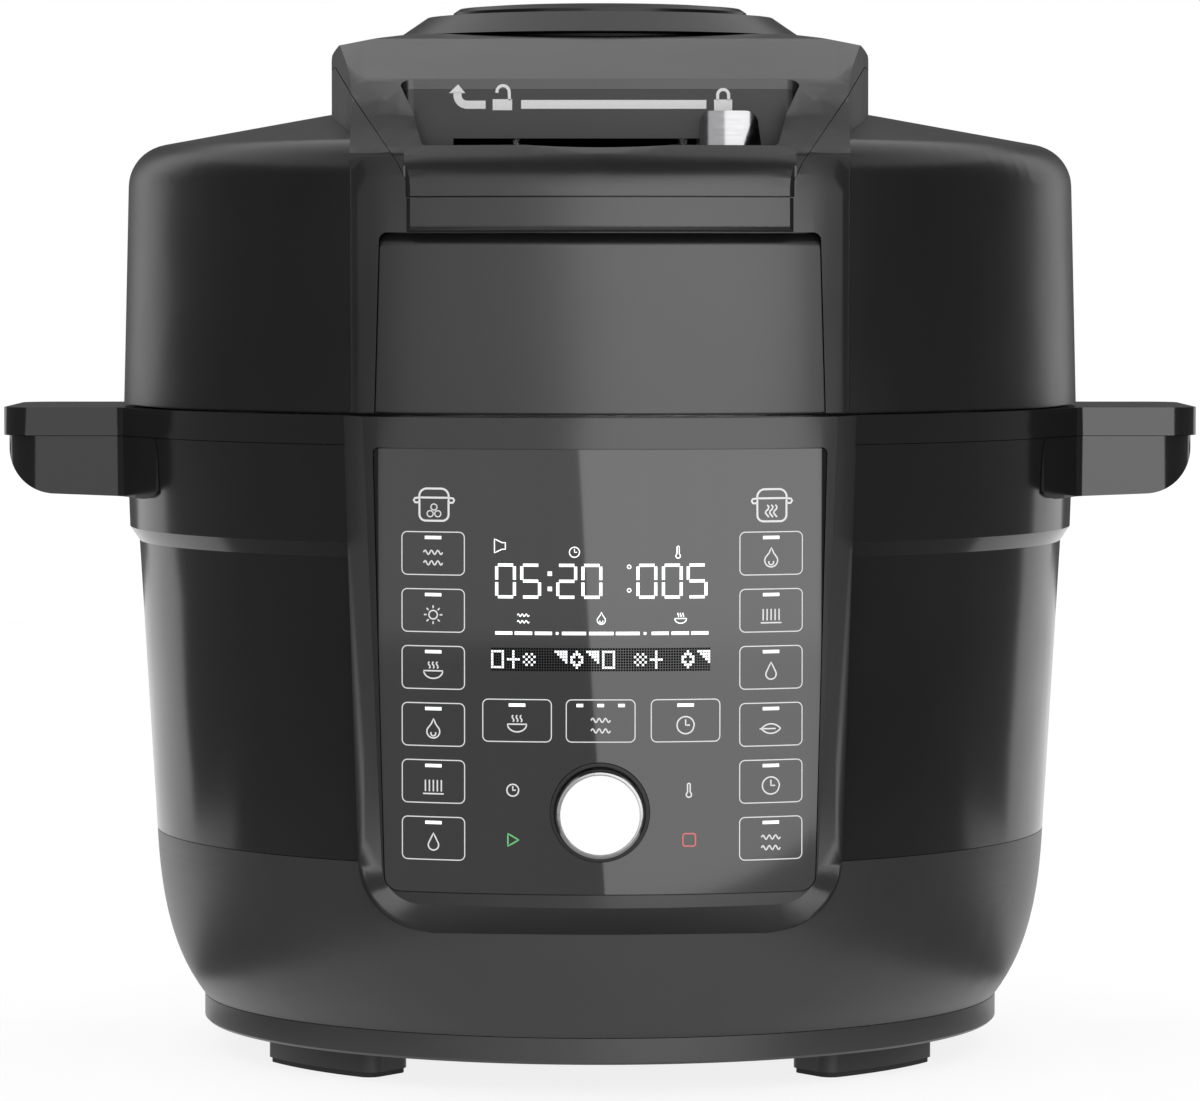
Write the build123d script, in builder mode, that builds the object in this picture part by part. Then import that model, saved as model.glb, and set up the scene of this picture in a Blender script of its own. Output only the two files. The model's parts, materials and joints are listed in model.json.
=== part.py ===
from build123d import *
import math
import os

os.makedirs("parts", exist_ok=True)

# Electric pressure cooker with a hinged one-piece lid. Millimetres, +Z up, front towards -Y.
# The origin is under the centre of the body, on the surface that the feet stand on.

# Base body: radii of the revolved outline at their heights
ring_z = (8.8, 17.0)
ring_r = 130.2
foot_r = (100.0, 120.5)
moulding_z = (17.2, 71.4)
drum_r = 145.6
step_z = (165.8, 170.4)
step_r = (151.1, 154.2)
drum_top_z = 200.4
collar_z = (200.6, 209.6)
collar_r = 155.5
wall = 2.6
gap = 0.3

# Handles
handle_x = 192.8
handle_y = 41.0
grip_x = 191.4
grip_z = (180.4, 182.4)

# Front fascia, a bulge concentric with the drum
fascia_r = 163.0
fascia_z = (61.0, 209.4)
fascia_taper = 27.8
fascia_back_y = 134.0
glass_top = (68.9, 199.8)
glass_bottom = (65.5, 65.2)
dial_z = 90.1
dial_r = 13.5

# Lid
lid_z = 210.6
lid_r = 156.0
band_r = 161.5
band_half_w = 76.4
ear_half_w = 87.0
panel_top_z = 265.1
trim_z = (265.5, 275.8)
hood_front_r = 165.0
seam_z = (281.0, 286.5, 317.9)
seam_half_w = (58.9, 61.5, 84.0)
crown_z = 329.4
cone_r = 66.0
cap_r = 48.0
top_z = 339.5

# Hinge at the rear, level with the joint between base and lid
hinge_y = 166.0
hinge_z = 216.0
pin_r = 3.0
run_gap = 0.05
barrel_r = 6.5
barrel_half_w = 35.5

# Lock slider and ring
slider_x = 40.0
slider_y = -130.0
recess_y = -110.8
lip_r = 156.0
tray_z = 288.2
lug_in_r = 130.8
lug_out_r = 129.8

# Pot and heater
pot_r = 112.0
pot_z = (52.0, 205.5)
neck_r = (121.0, 124.0)
neck_z = (192.0, 214.0)
shield_r = 118.5
cavity_r = 101.5
cavity_z = 246.0
fan_z = (223.0, 236.0)
steam_at = (-28.0, 20.0)
float_at = (28.0, 20.0)


def save(piece, name):
    """Label one finished piece and write it as its own STEP file."""
    piece.part.label = name
    export_step(piece.part, f"parts/{name}.step")


def turned(*points, mode=Mode.ADD):
    """Revolve a closed (radius, height) outline about the vertical axis."""
    with BuildSketch(Plane.XZ) as outline:
        with BuildLine():
            Polyline(*points, close=True)
        make_face()
    revolve(outline.sketch, axis=Axis.Z, mode=mode)


def tube(outer, inner, low, high, mode=Mode.ADD):
    """A plain vertical ring."""
    turned((inner, low), (outer, low), (outer, high), (inner, high), mode=mode)


def block(low, high, mode=Mode.ADD):
    """An upright box between two corners."""
    size = [abs(b - a) for a, b in zip(low, high)]
    with Locations(tuple((a + b) / 2 for a, b in zip(low, high))):
        Box(*size, mode=mode)


def post(x, y, low, high, radius, mode=Mode.ADD):
    """An upright round post or hole."""
    with Locations((x, y, (low + high) / 2)):
        Cylinder(radius, high - low, mode=mode)


def drum_form(inset):
    """The base body from the moulding's foot to the collar's top, drawn in by inset."""
    with BuildPart() as form:
        with BuildSketch(Plane.XZ) as outline:
            with BuildLine():
                Spline(
                    (130.2 - inset, moulding_z[0]),
                    (136.3 - inset, 26.9),
                    (142.8 - inset, 46.6),
                    (drum_r - inset, moulding_z[1]),
                )
                Polyline(
                    (drum_r - inset, moulding_z[1]),
                    (step_r[0] - inset, step_z[0]),
                    (step_r[1] - inset, step_z[1]),
                    (155.2 - inset, drum_top_z),
                    (collar_r - inset, collar_z[0]),
                    (collar_r - inset, collar_z[1]),
                    (0, collar_z[1]),
                    (0, moulding_z[0]),
                    (130.2 - inset, moulding_z[0]),
                )
            make_face()
        revolve(axis=Axis.Z)
    return form.part


def fascia_form(inset):
    """The fascia's bulge with its sloped sides, drawn in by inset."""
    slope = math.tan(math.radians(fascia_taper))
    low = fascia_z[0] - (fascia_r - fascia_back_y) * slope
    rise = (fascia_r - math.sqrt(fascia_r**2 - 73.8**2)) * slope
    high = fascia_z[1] + 40
    with BuildPart() as form:
        with BuildSketch(Plane.XZ.offset(fascia_back_y)) as face:
            with BuildLine():
                Polyline(
                    (-73.8 + inset, low + rise + inset),
                    (-80.0 + inset, high),
                    (80.0 - inset, high),
                    (73.8 - inset, low + rise + inset),
                )
                ThreePointArc(
                    (-73.8 + inset, low + rise + inset),
                    (0, low + inset),
                    (73.8 - inset, low + rise + inset),
                )
            make_face()
            fillet(face.vertices().group_by(Axis.Y)[0], 22 - inset)
        extrude(amount=38, taper=fascia_taper)
        extrude(face.sketch, amount=-30)
        with BuildSketch(Plane.XY.offset(low - 1)):
            Circle(fascia_r - inset)
        extrude(amount=fascia_z[1] - inset - low + 1, mode=Mode.INTERSECT)
    return form.part


def glass_outline(grow):
    """The control glass seen from the front, grown by a clearance."""
    with BuildSketch(Plane.XZ) as outline:
        with BuildLine():
            Polyline(
                (-glass_top[0] - grow, glass_top[1] + grow),
                (-glass_bottom[0] - grow, glass_bottom[1] - grow),
                (glass_bottom[0] + grow, glass_bottom[1] - grow),
                (glass_top[0] + grow, glass_top[1] + grow),
                close=True,
            )
        make_face()
        fillet(outline.vertices().group_by(Axis.Y)[0], 4.5 + grow)
        fillet(outline.vertices().group_by(Axis.Y)[-1], max(0.8, 1.5 + grow))
    return outline.sketch


def panel_outline(grow, top):
    """The lid's front panel seen from the front, up to a level, grown by a clearance."""
    with BuildSketch(Plane.XZ) as outline:
        with BuildLine():
            Polyline(
                (-66.8 - grow, top),
                (-68.4 - grow, lid_z + 0.3 - grow),
                (68.4 + grow, lid_z + 0.3 - grow),
                (66.8 + grow, top),
                close=True,
            )
        make_face()
        fillet(outline.vertices().group_by(Axis.Y)[-1], 2.5)
    return outline.sketch


def front_pocket(outline, floor_r):
    """Everything in front of a cylinder of radius floor_r inside a front-view outline."""
    with BuildPart() as pocket:
        extrude(outline, amount=200)
        with BuildSketch(Plane.XY):
            Circle(floor_r)
        extrude(amount=400, mode=Mode.SUBTRACT)
    return pocket.part


def lid_form(inset):
    """The lid's skirt and dome, drawn in by inset."""
    with BuildPart() as form:
        with BuildSketch(Plane.XZ) as outline:
            with BuildLine():
                FilletPolyline(
                    (lid_r - inset, lid_z),
                    (154.0 - inset, 292.3 - inset),
                    (88, 304.4 - inset),
                    (60, 307.6 - inset),
                    (0, 309 - inset),
                    radius=[14 - inset, 120, 120],
                )
                Polyline((0, 309 - inset), (0, lid_z), (lid_r - inset, lid_z))
            make_face()
        revolve(axis=Axis.Z)
    return form.part


def band_plan(inset, front_r):
    """Plan outline of the raised band, wider across its middle."""
    half = band_half_w - inset
    reach = math.sqrt((front_r - inset) ** 2 - half**2)
    rear = math.sqrt((band_r - inset) ** 2 - half**2)
    with BuildSketch(Plane.XY.offset(lid_z)) as outline:
        with BuildLine():
            for side in (-1, 1):
                Line((side * half, -reach), (side * half, -122))
                Spline(
                    (side * half, -122),
                    (side * (81.7 - inset), -80),
                    (side * (86.3 - inset), -38),
                    (side * (ear_half_w - inset), 0),
                    (side * (86.3 - inset), 38),
                    (side * (81.7 - inset), 80),
                    (side * half, 122),
                    tangents=((side * 0.03, 1), (side * -0.03, 1)),
                )
                Line((side * half, 122), (side * half, rear))
            ThreePointArc((-half, -reach), (0, -front_r + inset), (half, -reach))
            ThreePointArc((-half, rear), (0, band_r - inset), (half, rear))
        make_face()
        corners = [v for v in outline.vertices() if abs(v.Y) > 125]
        fillet(corners, 5 - inset)
    return outline.sketch


def crown_profile(inset):
    """Front view of the flat sides and gentle crown of band and hood."""
    with BuildSketch(Plane.XZ) as outline:
        with BuildLine():
            Polyline(
                (-90, lid_z - 1),
                (-90, 312 - inset),
                (-ear_half_w - 0.3 + inset, 319 - inset),
                (-85.8 + inset, 322.4 - inset),
                (-82.4 + inset, 324.4 - inset),
                (-60, crown_z - inset),
                (60, crown_z - inset),
                (82.4 - inset, 324.4 - inset),
                (85.8 - inset, 322.4 - inset),
                (ear_half_w + 0.3 - inset, 319 - inset),
                (90, 312 - inset),
                (90, lid_z - 1),
                close=True,
            )
        make_face()
        crown = [v for v in outline.vertices() if abs(v.X) < 61]
        fillet(crown, 40)
    return outline.sketch


def crown_cut(inset):
    """Side view of what is cleared above the crown, the slope over the recess and the front lip."""
    with BuildSketch(Plane.YZ) as outline:
        with BuildLine():
            Polyline(
                (-175, 281.5 - inset),
                (-110 + inset / 3, 313.2 - inset),
                (-72 + inset / 6, 327 - inset),
                (-45, crown_z - inset),
                (88, crown_z - inset),
                (132, 322 - inset),
                (150 - inset / 2, 311 - inset),
                (175, 284 - inset),
                (175, 345),
                (-175, 345),
                close=True,
            )
        make_face()
        soft = [v for v in outline.vertices() if -80 < v.X < 135 and v.Y < 340]
        fillet(soft, 20)
    return outline.sketch


def lip_form(inset):
    """What stays of the front once its top edge is rolled back, with a lip ahead of the recess."""
    with BuildPart() as form:
        turned(
            (0, 200),
            (hood_front_r - inset, 200),
            (hood_front_r - inset, 278.5),
            (hood_front_r - 0.5 - inset, 282 - 0.1 * inset),
            (hood_front_r - 1.5 - 0.9 * inset, 284.6 - 0.35 * inset),
            (hood_front_r - 3.1 - 0.75 * inset, 286.7 - 0.6 * inset),
            (hood_front_r - 5.4 - 0.6 * inset, 288.8 - 0.75 * inset),
            (lip_r - 0.1, 291.5 - 1.2 * inset),
            (150, 296.8 - 1.2 * inset),
            (112, 336 - inset),
            (0, 345),
        )
        for side in (-1, 1):
            add(soft_shoulder(inset, side), mode=Mode.SUBTRACT)
        block((-200, -60, 200), (200, 200, 345))
    return form.part


def soft_shoulder(inset, side):
    """What the band's front corner loses where it rolls over into the slope beside the recess."""
    half = seam_half_w[0] + 0.6
    with BuildPart() as shoulder:
        turned(
            (band_r - inset, 277),
            (band_r - 0.6 - inset, 283 - 0.1 * inset),
            (band_r - 2.3 - 0.95 * inset, 288.5 - 0.3 * inset),
            (band_r - 5.3 - 0.85 * inset, 293.3 - 0.5 * inset),
            (band_r - 9.9 - 0.7 * inset, 297.9 - 0.7 * inset),
            (band_r - 15.5 - 0.6 * inset, 302.2 - 0.8 * inset),
            (band_r - 23.5 - 0.6 * inset, 308.2 - 0.8 * inset),
            (112, 329),
            (112, 346),
            (180, 346),
            (180, 277),
        )
        block((-200, -50, 200), (200, 200, 350), mode=Mode.SUBTRACT)
        block((-side * 200, -200, 200), (side * half, 50, 350), mode=Mode.SUBTRACT)
    return shoulder.part


def crown_form(inset, front_r):
    """Band and hood as one form, drawn in by inset, still running down to the lid's rim."""
    with BuildPart() as form:
        extrude(band_plan(inset, front_r), amount=crown_z - lid_z)
        extrude(crown_profile(inset), amount=200, both=True, mode=Mode.INTERSECT)
        extrude(crown_cut(inset), amount=100, both=True, mode=Mode.SUBTRACT)
        add(lip_form(inset), mode=Mode.INTERSECT)
    return form.part


def above_seam(lift):
    """Front view of what the hood covers, above its seam with the band by a clearance."""
    low = trim_z[1] + gap
    with BuildSketch(Plane.XZ) as outline:
        with BuildLine():
            Polyline(
                (seam_half_w[0] - lift, low + lift),
                (seam_half_w[0] - lift, seam_z[0]),
                (seam_half_w[1] - lift, seam_z[1]),
                (seam_half_w[2] - lift, seam_z[2] + lift),
                (95, seam_z[2] + lift),
                (95, 400),
                (-95, 400),
                (-95, seam_z[2] + lift),
                (-seam_half_w[2] + lift, seam_z[2] + lift),
                (-seam_half_w[1] + lift, seam_z[1]),
                (-seam_half_w[0] + lift, seam_z[0]),
                (-seam_half_w[0] + lift, low + lift),
                close=True,
            )
        make_face()
    return outline.sketch


def recess_plan(grow, level):
    """Plan outline, at a level, of the recess that the lock slider moves in."""
    back, front, reach = 62.6 + grow, 54.0 + grow, lip_r - 0.4 + grow
    corner_y = -math.sqrt(reach**2 - front**2)
    with BuildSketch(Plane.XY.offset(level)) as outline:
        with BuildLine():
            Polyline(
                (-front, corner_y),
                (-back, recess_y + grow),
                (back, recess_y + grow),
                (front, corner_y),
            )
            ThreePointArc((-front, corner_y), (0, -reach), (front, corner_y))
        make_face()
        fillet(outline.vertices().group_by(Axis.Y)[0], 2.5)
        fillet(outline.vertices().group_by(Axis.Y)[-1], 4)
    return outline.sketch


def hood_corner(side):
    """What the proud front of hood and trim loses along its upright side edge."""
    with BuildSketch(Plane.XY.offset(260)) as corner:
        with BuildLine():
            Polyline(
                (side * 57.4, -156),
                (side * 57.4, -154.6),
                (side * 58.95, -151.6),
                (side * 62, -151.6),
                (side * 62, -156),
                close=True,
            )
        make_face()
    return extrude(corner.sketch, amount=28)


def pipe(at, low, high, outer, inner=0.0):
    """An upright pipe at a plan position, solid when no bore is given."""
    post(*at, low, high, outer)
    if inner:
        post(*at, low - 1, high + 1, inner, mode=Mode.SUBTRACT)


def foot_plan(level, inset):
    """Plan outlines of the four feet, drawn in by inset."""
    outer = foot_r[1] - inset
    inner = foot_r[0] + inset
    spread = 13.5 - math.degrees(inset / 110)
    with BuildSketch(Plane.XY.offset(level)) as outline:
        for mid in (40, 140, 220, 320):
            with BuildLine():
                CenterArc((0, 0), outer, mid - spread, 2 * spread)
                CenterArc((0, 0), inner, mid - spread, 2 * spread)
                for end in (-spread, spread):
                    turn = math.radians(mid + end)
                    Line(
                        (outer * math.cos(turn), outer * math.sin(turn)),
                        (inner * math.cos(turn), inner * math.sin(turn)),
                    )
            make_face()
        fillet(outline.vertices(), 5 - inset)
    return outline.sketch


# ---------------------------------------------------------------- base: feet and bottom
with BuildPart() as feet:
    extrude(foot_plan(1.6, 0), amount=ring_z[0] - 1.7)
save(feet, "feet")

with BuildPart() as foot_pads:
    extrude(foot_plan(0, 0.8), amount=1.5)
save(foot_pads, "foot_pads")

with BuildPart() as bottom_plate:
    turned((0, 13), (122, 13), (124, 8.8), (129.4, 8.8), (ring_r, 9.6), (ring_r, 17), (0, 17))
    with PolarLocations(70, 24):
        with Locations((0, 0, 15)):
            Box(30, 4, 6, mode=Mode.SUBTRACT)
    with PolarLocations(110, 4, start_angle=15):
        with Locations((0, 0, 15)):
            Cylinder(2.2, 10, mode=Mode.SUBTRACT)
save(bottom_plate, "bottom_plate")

with BuildPart() as bottom_screws:
    with PolarLocations(110, 4, start_angle=15):
        with Locations((0, 0, 16)):
            Cylinder(2.0, 8)
        with Locations((0, 0, 11.7)):
            Cylinder(4.0, 2.4)
save(bottom_screws, "bottom_screws")

# ---------------------------------------------------------------- base: housings
with BuildPart() as base_moulding:
    add(drum_form(0))
    add(drum_form(wall), mode=Mode.SUBTRACT)
    split(bisect_by=Plane.XY.offset(moulding_z[1]), keep=Keep.BOTTOM)
    tube(130.2, 118, moulding_z[0], moulding_z[0] + 2)
    add(fascia_form(2.8), mode=Mode.SUBTRACT)
    block((-19.3, 100, 26.7), (19.3, 160, 53.3), mode=Mode.SUBTRACT)
save(base_moulding, "base_moulding")

with BuildPart() as outer_shell:
    add(drum_form(0))
    add(drum_form(wall), mode=Mode.SUBTRACT)
    split(bisect_by=Plane.XY.offset(moulding_z[1] + 0.2), keep=Keep.TOP)
    split(bisect_by=Plane.XY.offset(drum_top_z), keep=Keep.BOTTOM)
    block((-62, -170, 74), (62, -100, 197), mode=Mode.SUBTRACT)
save(outer_shell, "outer_shell")

with BuildPart() as rim_collar:
    tube(collar_r, neck_r[1] + 0.4, collar_z[1] - 3, collar_z[1])
    tube(collar_r, collar_r - wall, collar_z[0], collar_z[1])
    for side in (-1, 1):
        with BuildSketch(Plane.XY.offset(collar_z[0])) as plate:
            with BuildLine():
                Polyline(
                    (side * 128, -79),
                    (side * 141, -66),
                    (side * 149, -51),
                    (side * 154, -handle_y),
                    (side * handle_x, -handle_y),
                    (side * handle_x, handle_y),
                    (side * 154, handle_y),
                    (side * 149, 51),
                    (side * 141, 66),
                    (side * 128, 79),
                    close=True,
                )
            make_face()
            outer = [v for v in plate.vertices() if abs(v.X) > handle_x - 1]
            fillet(outer, 10)
            waist = [v for v in plate.vertices() if 148 < abs(v.X) < 155]
            fillet(waist, 4)
        extrude(amount=collar_z[1] - collar_z[0])
    tube(collar_r - wall, 60, collar_z[0] - 1, collar_z[1] - 3, mode=Mode.SUBTRACT)
    tube(neck_r[1] + 0.4, 60, collar_z[0] - 1, collar_z[1] + 1, mode=Mode.SUBTRACT)
save(rim_collar, "rim_collar")

for side, name in ((-1, "handle_grip_left"), (1, "handle_grip_right")):
    with BuildPart() as grip:
        with BuildSketch(Plane.XY.offset(grip_z[0] - 1)) as plan:
            with BuildLine():
                Polyline(
                    (side * 132, -72.5),
                    (side * 141, -65),
                    (side * 149, -50),
                    (side * 154, -handle_y + 0.8),
                    (side * grip_x, -handle_y + 0.8),
                    (side * grip_x, handle_y - 0.8),
                    (side * 154, handle_y - 0.8),
                    (side * 149, 50),
                    (side * 141, 65),
                    (side * 132, 72.5),
                    close=True,
                )
            make_face()
            outer = [v for v in plan.vertices() if abs(v.X) > grip_x - 1]
            fillet(outer, 12)
            waist = [v for v in plan.vertices() if 148 < abs(v.X) < 155]
            fillet(waist, 4)
        extrude(amount=30)
        with BuildSketch(Plane.XZ) as face:
            with BuildLine():
                Polyline(
                    (side * 138.5, collar_z[0] - 0.2),
                    (side * grip_x, collar_z[0] - 0.2),
                    (side * grip_x, grip_z[1]),
                    (side * 138.5, grip_z[0]),
                    close=True,
                )
            make_face()
            low_out = [v for v in face.vertices() if v.Y < 190 and abs(v.X) > 150]
            fillet(low_out, 16)
            low_in = [v for v in face.vertices() if v.Y < 190 and abs(v.X) < 139]
            fillet(low_in, 8)
        extrude(amount=80, both=True, mode=Mode.INTERSECT)
        with BuildSketch(Plane.XY.offset(grip_z[0] - 1)) as hollow:
            with Locations((side * 172, 0)):
                RectangleRounded(28, 2 * handle_y - 9, 4)
        extrude(amount=collar_z[0] - grip_z[0] - 2.2, mode=Mode.SUBTRACT)
        add(drum_form(-0.15), mode=Mode.SUBTRACT)
    save(grip, name)

with BuildPart() as front_fascia:
    add(fascia_form(0))
    add(fascia_form(2.6), mode=Mode.SUBTRACT)
    add(drum_form(-0.1), mode=Mode.SUBTRACT)
    add(front_pocket(glass_outline(gap), 161), mode=Mode.SUBTRACT)
    extrude(glass_outline(-3), amount=200, mode=Mode.SUBTRACT)
save(front_fascia, "front_fascia")

with BuildPart() as control_glass:
    extrude(glass_outline(0), amount=200)
    with BuildSketch(Plane.XY.offset(0)) as sheet:
        Circle(162.8)
        Circle(161.1, mode=Mode.SUBTRACT)
    extrude(amount=240, mode=Mode.INTERSECT)
    with Locations(Plane(origin=(0, -160, dial_z), z_dir=(0, -1, 0))):
        Cylinder(15.2, 30, mode=Mode.SUBTRACT)
save(control_glass, "control_glass")

# ---------------------------------------------------------------- base: display and dial
with BuildPart() as display_board:
    block((-57, -148.2, 76), (57, -146.6, 194))
    block((-36, -152, 140), (36, -148.2, 178))
    with Locations(Plane(origin=(0, -147, dial_z), z_dir=(0, -1, 0))):
        Cylinder(5.3, 10, mode=Mode.SUBTRACT)
save(display_board, "display_board")

with BuildPart() as dial_trim_ring:
    with BuildSketch(Plane.XZ.offset(158.0)):
        with Locations((0, dial_z)):
            Circle(15.0)
            Circle(14.0, mode=Mode.SUBTRACT)
    extrude(amount=5.2)
    with BuildSketch(Plane.XZ.offset(156.0)):
        with Locations((0, dial_z)):
            Circle(18.0)
            Circle(6.0, mode=Mode.SUBTRACT)
    extrude(amount=2.0)
save(dial_trim_ring, "dial_trim_ring")

with BuildPart() as encoder_shaft:
    with BuildSketch(Plane.XZ.offset(136)):
        with Locations((0, dial_z)):
            Circle(5.0)
    extrude(amount=22)
    with BuildSketch(Plane.XZ.offset(158)):
        with Locations((0, dial_z)):
            Circle(3.0)
    extrude(amount=8)
save(encoder_shaft, "encoder_shaft")

with BuildPart() as dial_knob:
    with BuildSketch(Plane.XZ.offset(160)):
        with Locations((0, dial_z)):
            Circle(dial_r)
    extrude(amount=11.5)
    fillet(dial_knob.edges().filter_by(GeomType.CIRCLE).sort_by(Axis.Y)[0], 1.0)
    with BuildSketch(Plane.XZ.offset(159)):
        with Locations((0, dial_z)):
            Circle(3.0 + run_gap)
    extrude(amount=7.2, mode=Mode.SUBTRACT)
    with BuildSketch(Plane.XZ.offset(170.3)):
        with Locations((0, dial_z)):
            Circle(12.2)
    extrude(amount=2, mode=Mode.SUBTRACT)
save(dial_knob, "dial_knob")

with BuildPart() as dial_cap:
    with BuildSketch(Plane.XZ.offset(170.4)):
        with Locations((0, dial_z)):
            Circle(12.0)
    extrude(amount=2.1)
    fillet(dial_cap.edges().filter_by(GeomType.CIRCLE).sort_by(Axis.Y)[0], 0.8)
save(dial_cap, "dial_cap")

# ---------------------------------------------------------------- base: pot, shield, heater
with BuildPart() as locking_flange:
    tube(neck_r[1], neck_r[0], neck_z[0], neck_z[1])
    tube(150, neck_r[1] - 0.5, 204.2, 206.3)
    with BuildSketch(Plane.XY.offset(neck_z[1] - 1.8)) as lugs:
        Circle(lug_out_r)
        with PolarLocations(lug_out_r, 8, start_angle=22.5):
            Rectangle(30, 42, mode=Mode.SUBTRACT)
        Circle(neck_r[0], mode=Mode.SUBTRACT)
    extrude(amount=1.8)
save(locking_flange, "locking_flange")

with BuildPart() as heat_shield:
    turned(
        (12.8, 34),
        (shield_r, 34),
        (shield_r, 202),
        (120.8, 202),
        (120.8, 203.2),
        (117.3, 203.2),
        (117.3, 35.2),
        (12.8, 35.2),
    )
save(heat_shield, "heat_shield")

with BuildPart() as heater_plate:
    turned((13, 44.5), (86, 44.5), (88, 46.5), (88, 50.2), (84, 51.5), (13, 51.5))
    with PolarLocations(60, 3, start_angle=30):
        with Locations((0, 0, 39.9)):
            Cylinder(4, 9.4)
save(heater_plate, "heater_plate")

with BuildPart() as inner_pot:
    turned(
        (0, pot_z[0]),
        (pot_r - 8, pot_z[0]),
        (pot_r, pot_z[0] + 8),
        (pot_r, 203.6),
        (119.4, 203.6),
        (119.4, pot_z[1]),
        (pot_r - 1.2, pot_z[1]),
        (pot_r - 1.2, pot_z[0] + 8.5),
        (pot_r - 8.5, pot_z[0] + 1.4),
        (0, pot_z[0] + 1.4),
    )
save(inner_pot, "inner_pot")

with BuildPart() as thermal_fuse:
    block((44, -6, 27), (70, 6, 33.9))
    block((40, -4, 32.6), (74, 4, 33.9))
save(thermal_fuse, "thermal_fuse")

with BuildPart() as sensor_cap:
    turned((0, 24), (4, 24), (4, 46), (12, 46), (12, 50.6), (11, 51.6), (0, 51.6))
save(sensor_cap, "sensor_cap")

with BuildPart() as sensor_bracket:
    block((-20, -8, 26), (20, 8, 28))
    block((-20, -8, 28), (-17, 8, 34))
    block((17, -8, 28), (20, 8, 34))
    post(0, 0, 25, 29, 4.3, mode=Mode.SUBTRACT)
save(sensor_bracket, "sensor_bracket")

with BuildPart() as sensor_spring:
    with BuildLine():
        Helix(pitch=3.4, height=15.5, radius=6.0, center=(0, 0, 29.2))
    with BuildSketch(Plane(origin=(6, 0, 29.2), z_dir=(0, 1, 0.09))):
        Circle(0.7)
    sweep()
save(sensor_spring, "sensor_spring")

with BuildPart() as power_board:
    block((-66, -50, 19.2), (-24, 50, 20.8))
    block((-60, -40, 20.8), (-34, -12, 31))
    block((-56, 0, 20.8), (-36, 18, 32))
    for row in range(3):
        post(-48, 26 + 9 * row, 20.8, 30, 3.6)
    for lean in (-1, 1):
        for end in (-1, 1):
            post(-45 + lean * 18, end * 46, 17, 20, 2.5)
save(power_board, "power_board")

with BuildPart() as power_inlet:
    block((-19, 119.8, 27), (19, 146, 53))
    fillet(power_inlet.edges().filter_by(Axis.Y), 4)
    block((-13, 127, 31), (13, 147, 49), mode=Mode.SUBTRACT)
    for place, height in ((-7, 37.5), (0, 43), (7, 37.5)):
        block((place - 1, 126, height - 2.5), (place + 1, 141, height + 2.5))
save(power_inlet, "power_inlet")

# ---------------------------------------------------------------- base: condensation cup
cup_half_w = 26.0
with BuildPart() as cup_rails:
    for side in (-1, 1):
        block((side * 27.0, 140, 158), (side * 33.5, 168.5, 170))
        block((side * 26.0, 140, 161.7), (side * 30.8, 175, 165.3), mode=Mode.SUBTRACT)
    add(drum_form(0.0), mode=Mode.SUBTRACT)
save(cup_rails, "cup_rails")

with BuildPart() as condensation_cup:
    with BuildSketch(Plane.XY.offset(120)) as foot:
        with Locations((0, 162.3)):
            Rectangle(2 * cup_half_w, 19.4)
        fillet(foot.vertices().group_by(Axis.Y)[-1], 7)
    extrude(amount=46)
    with BuildSketch(Plane.XY.offset(122)):
        with Locations((0, 162.3)):
            RectangleRounded(2 * cup_half_w - 4, 15.4, 3)
    extrude(amount=60, mode=Mode.SUBTRACT)
    for side in (-1, 1):
        block((side * 25.5, 155, 162.2), (side * 30.3, 168, 164.8))
save(condensation_cup, "condensation_cup")

# ---------------------------------------------------------------- hinge
with BuildPart() as hinge_bracket:
    for side in (-1, 1):
        with BuildSketch(Plane.YZ.offset(side * 43)) as ear:
            with Locations((hinge_y, hinge_z)):
                Circle(barrel_r)
            with Locations((hinge_y - 2, 203)):
                Rectangle(2 * barrel_r + 4, 26)
            fillet(ear.vertices().group_by(Axis.Y)[-1], 1)
        extrude(amount=7, both=True)
    block((-50, 156, 186), (50, hinge_y + barrel_r - 0.5, 207))
    with Locations(Plane(origin=(0, hinge_y, hinge_z), z_dir=(1, 0, 0))):
        Cylinder(pin_r + run_gap, 110, mode=Mode.SUBTRACT)
    add(drum_form(-0.1), mode=Mode.SUBTRACT)
    tube(collar_r + 3, 100, collar_z[1] - 2, 230, mode=Mode.SUBTRACT)
save(hinge_bracket, "hinge_bracket")

with BuildPart() as hinge_pin:
    with Locations(Plane(origin=(0, hinge_y, hinge_z), z_dir=(1, 0, 0))):
        Cylinder(pin_r, 103)
    for side in (-1, 1):
        with Locations(Plane(origin=(side * 51.2, hinge_y, hinge_z), z_dir=(1, 0, 0))):
            Cylinder(4.6, 2)
save(hinge_pin, "hinge_pin")

with BuildPart() as lid_hinge_arm:
    with BuildSketch(Plane.YZ) as arm:
        with Locations((hinge_y, hinge_z)):
            Circle(barrel_r)
        with BuildLine():
            Polyline(
                (hinge_y, hinge_z - barrel_r),
                (hinge_y + barrel_r, hinge_z),
                (hinge_y - 1, 232),
                (hinge_y - 4, 246),
                (150, 246),
                (150, 214),
                (hinge_y - barrel_r, 214),
                close=True,
            )
        make_face()
    extrude(amount=barrel_half_w, both=True)
    with Locations(Plane(origin=(0, hinge_y, hinge_z), z_dir=(1, 0, 0))):
        Cylinder(pin_r + run_gap, 110, mode=Mode.SUBTRACT)
    with BuildSketch(Plane.XY.offset(200)):
        Circle(lid_r + 0.1)
    extrude(amount=60, mode=Mode.SUBTRACT)
save(lid_hinge_arm, "lid_hinge_arm")

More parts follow.
